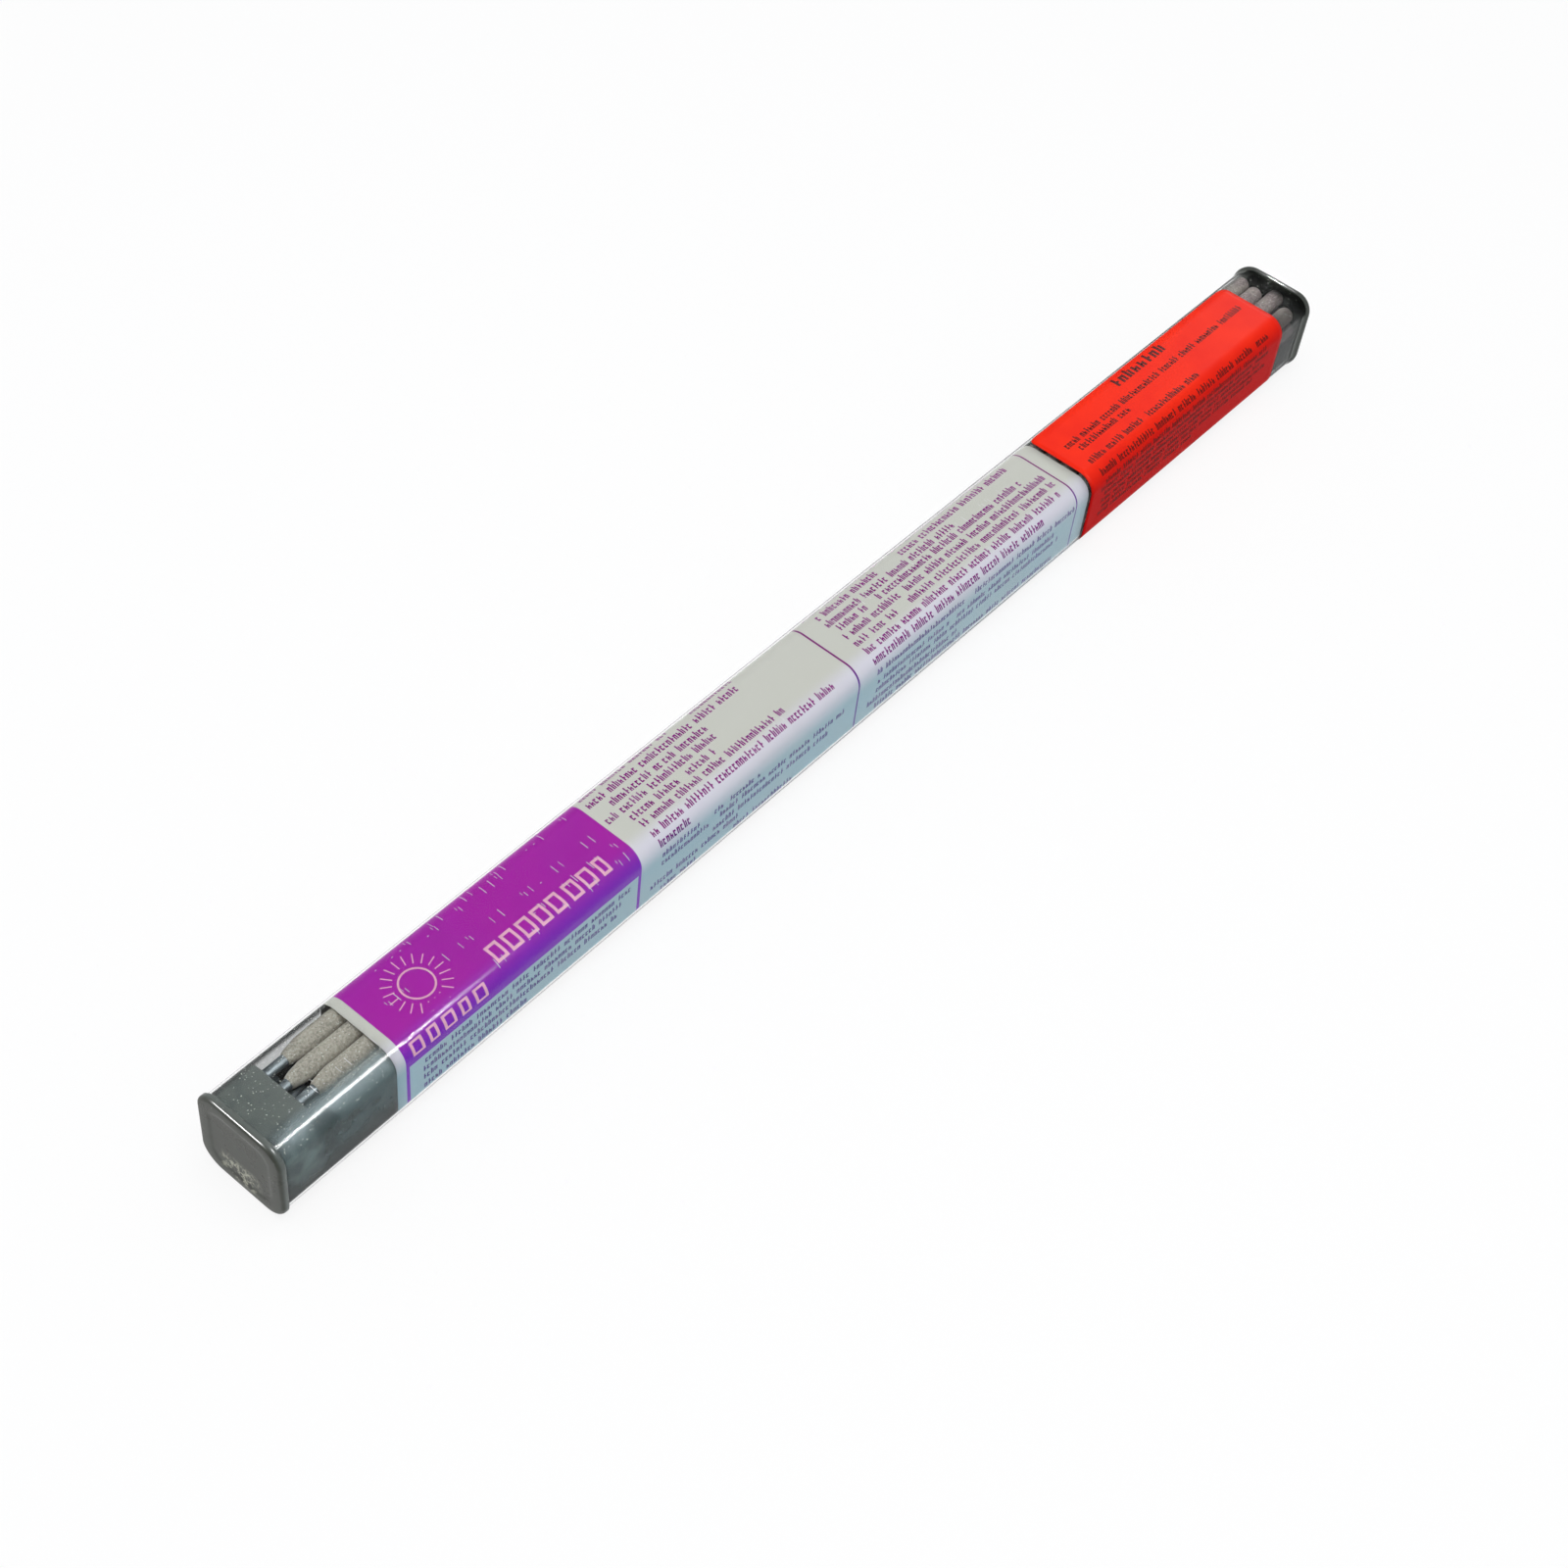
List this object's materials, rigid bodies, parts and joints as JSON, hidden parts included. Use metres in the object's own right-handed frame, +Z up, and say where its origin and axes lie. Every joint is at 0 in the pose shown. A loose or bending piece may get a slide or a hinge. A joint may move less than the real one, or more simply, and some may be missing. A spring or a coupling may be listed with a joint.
{
  "type": "tube pack of stick welding electrodes",
  "caption": "Clear square tube with a push-in end plug, holding a bundle of flux-coated stick welding electrodes behind a printed paper sleeve and an orange sticker.",
  "frame": {"origin": "bottom centre of the whole pack as it lies on a table", "axes": "+X along the tube from the plug to the closed end, +Y across, +Z up"},
  "size_m": [0.36, 0.0232, 0.0232],
  "materials": {
    "clear_tube": "clear, slightly smoky gloss plastic",
    "end_plug": "frosted translucent soft plastic",
    "printed_paper": "pale matt paper with a purple field and fine rules",
    "orange_sticker": "satin orange-red sticker",
    "core_wire": "bare steel, dull",
    "flux_coating": "rough matt mineral coating, grey-tan"
  },
  "bodies": {
    "pack": {"clear_tube": "clear_tube", "paper_sleeve": "printed_paper", "orange_sticker": "orange_sticker", "core_wire_01": "core_wire", "core_wire_02": "core_wire", "core_wire_03": "core_wire", "core_wire_04": "core_wire", "core_wire_05": "core_wire", "core_wire_06": "core_wire", "core_wire_07": "core_wire", "core_wire_08": "core_wire", "core_wire_09": "core_wire", "core_wire_10": "core_wire", "core_wire_11": "core_wire", "core_wire_12": "core_wire", "core_wire_13": "core_wire", "core_wire_14": "core_wire", "core_wire_15": "core_wire", "core_wire_16": "core_wire", "core_wire_17": "core_wire", "core_wire_18": "core_wire", "core_wire_19": "core_wire", "flux_coating_01": "flux_coating", "flux_coating_02": "flux_coating", "flux_coating_03": "flux_coating", "flux_coating_04": "flux_coating", "flux_coating_05": "flux_coating", "flux_coating_06": "flux_coating", "flux_coating_07": "flux_coating", "flux_coating_08": "flux_coating", "flux_coating_09": "flux_coating", "flux_coating_10": "flux_coating", "flux_coating_11": "flux_coating", "flux_coating_12": "flux_coating", "flux_coating_13": "flux_coating", "flux_coating_14": "flux_coating", "flux_coating_15": "flux_coating", "flux_coating_16": "flux_coating", "flux_coating_17": "flux_coating", "flux_coating_18": "flux_coating", "flux_coating_19": "flux_coating"},
    "plug": {"end_plug": "end_plug"}
  },
  "joints": [
    {"name": "plug_slide", "type": "slide", "parent": "pack", "child": "plug", "axis": [-1, 0, 0], "range_m": [0, 0.03]}
  ]
}
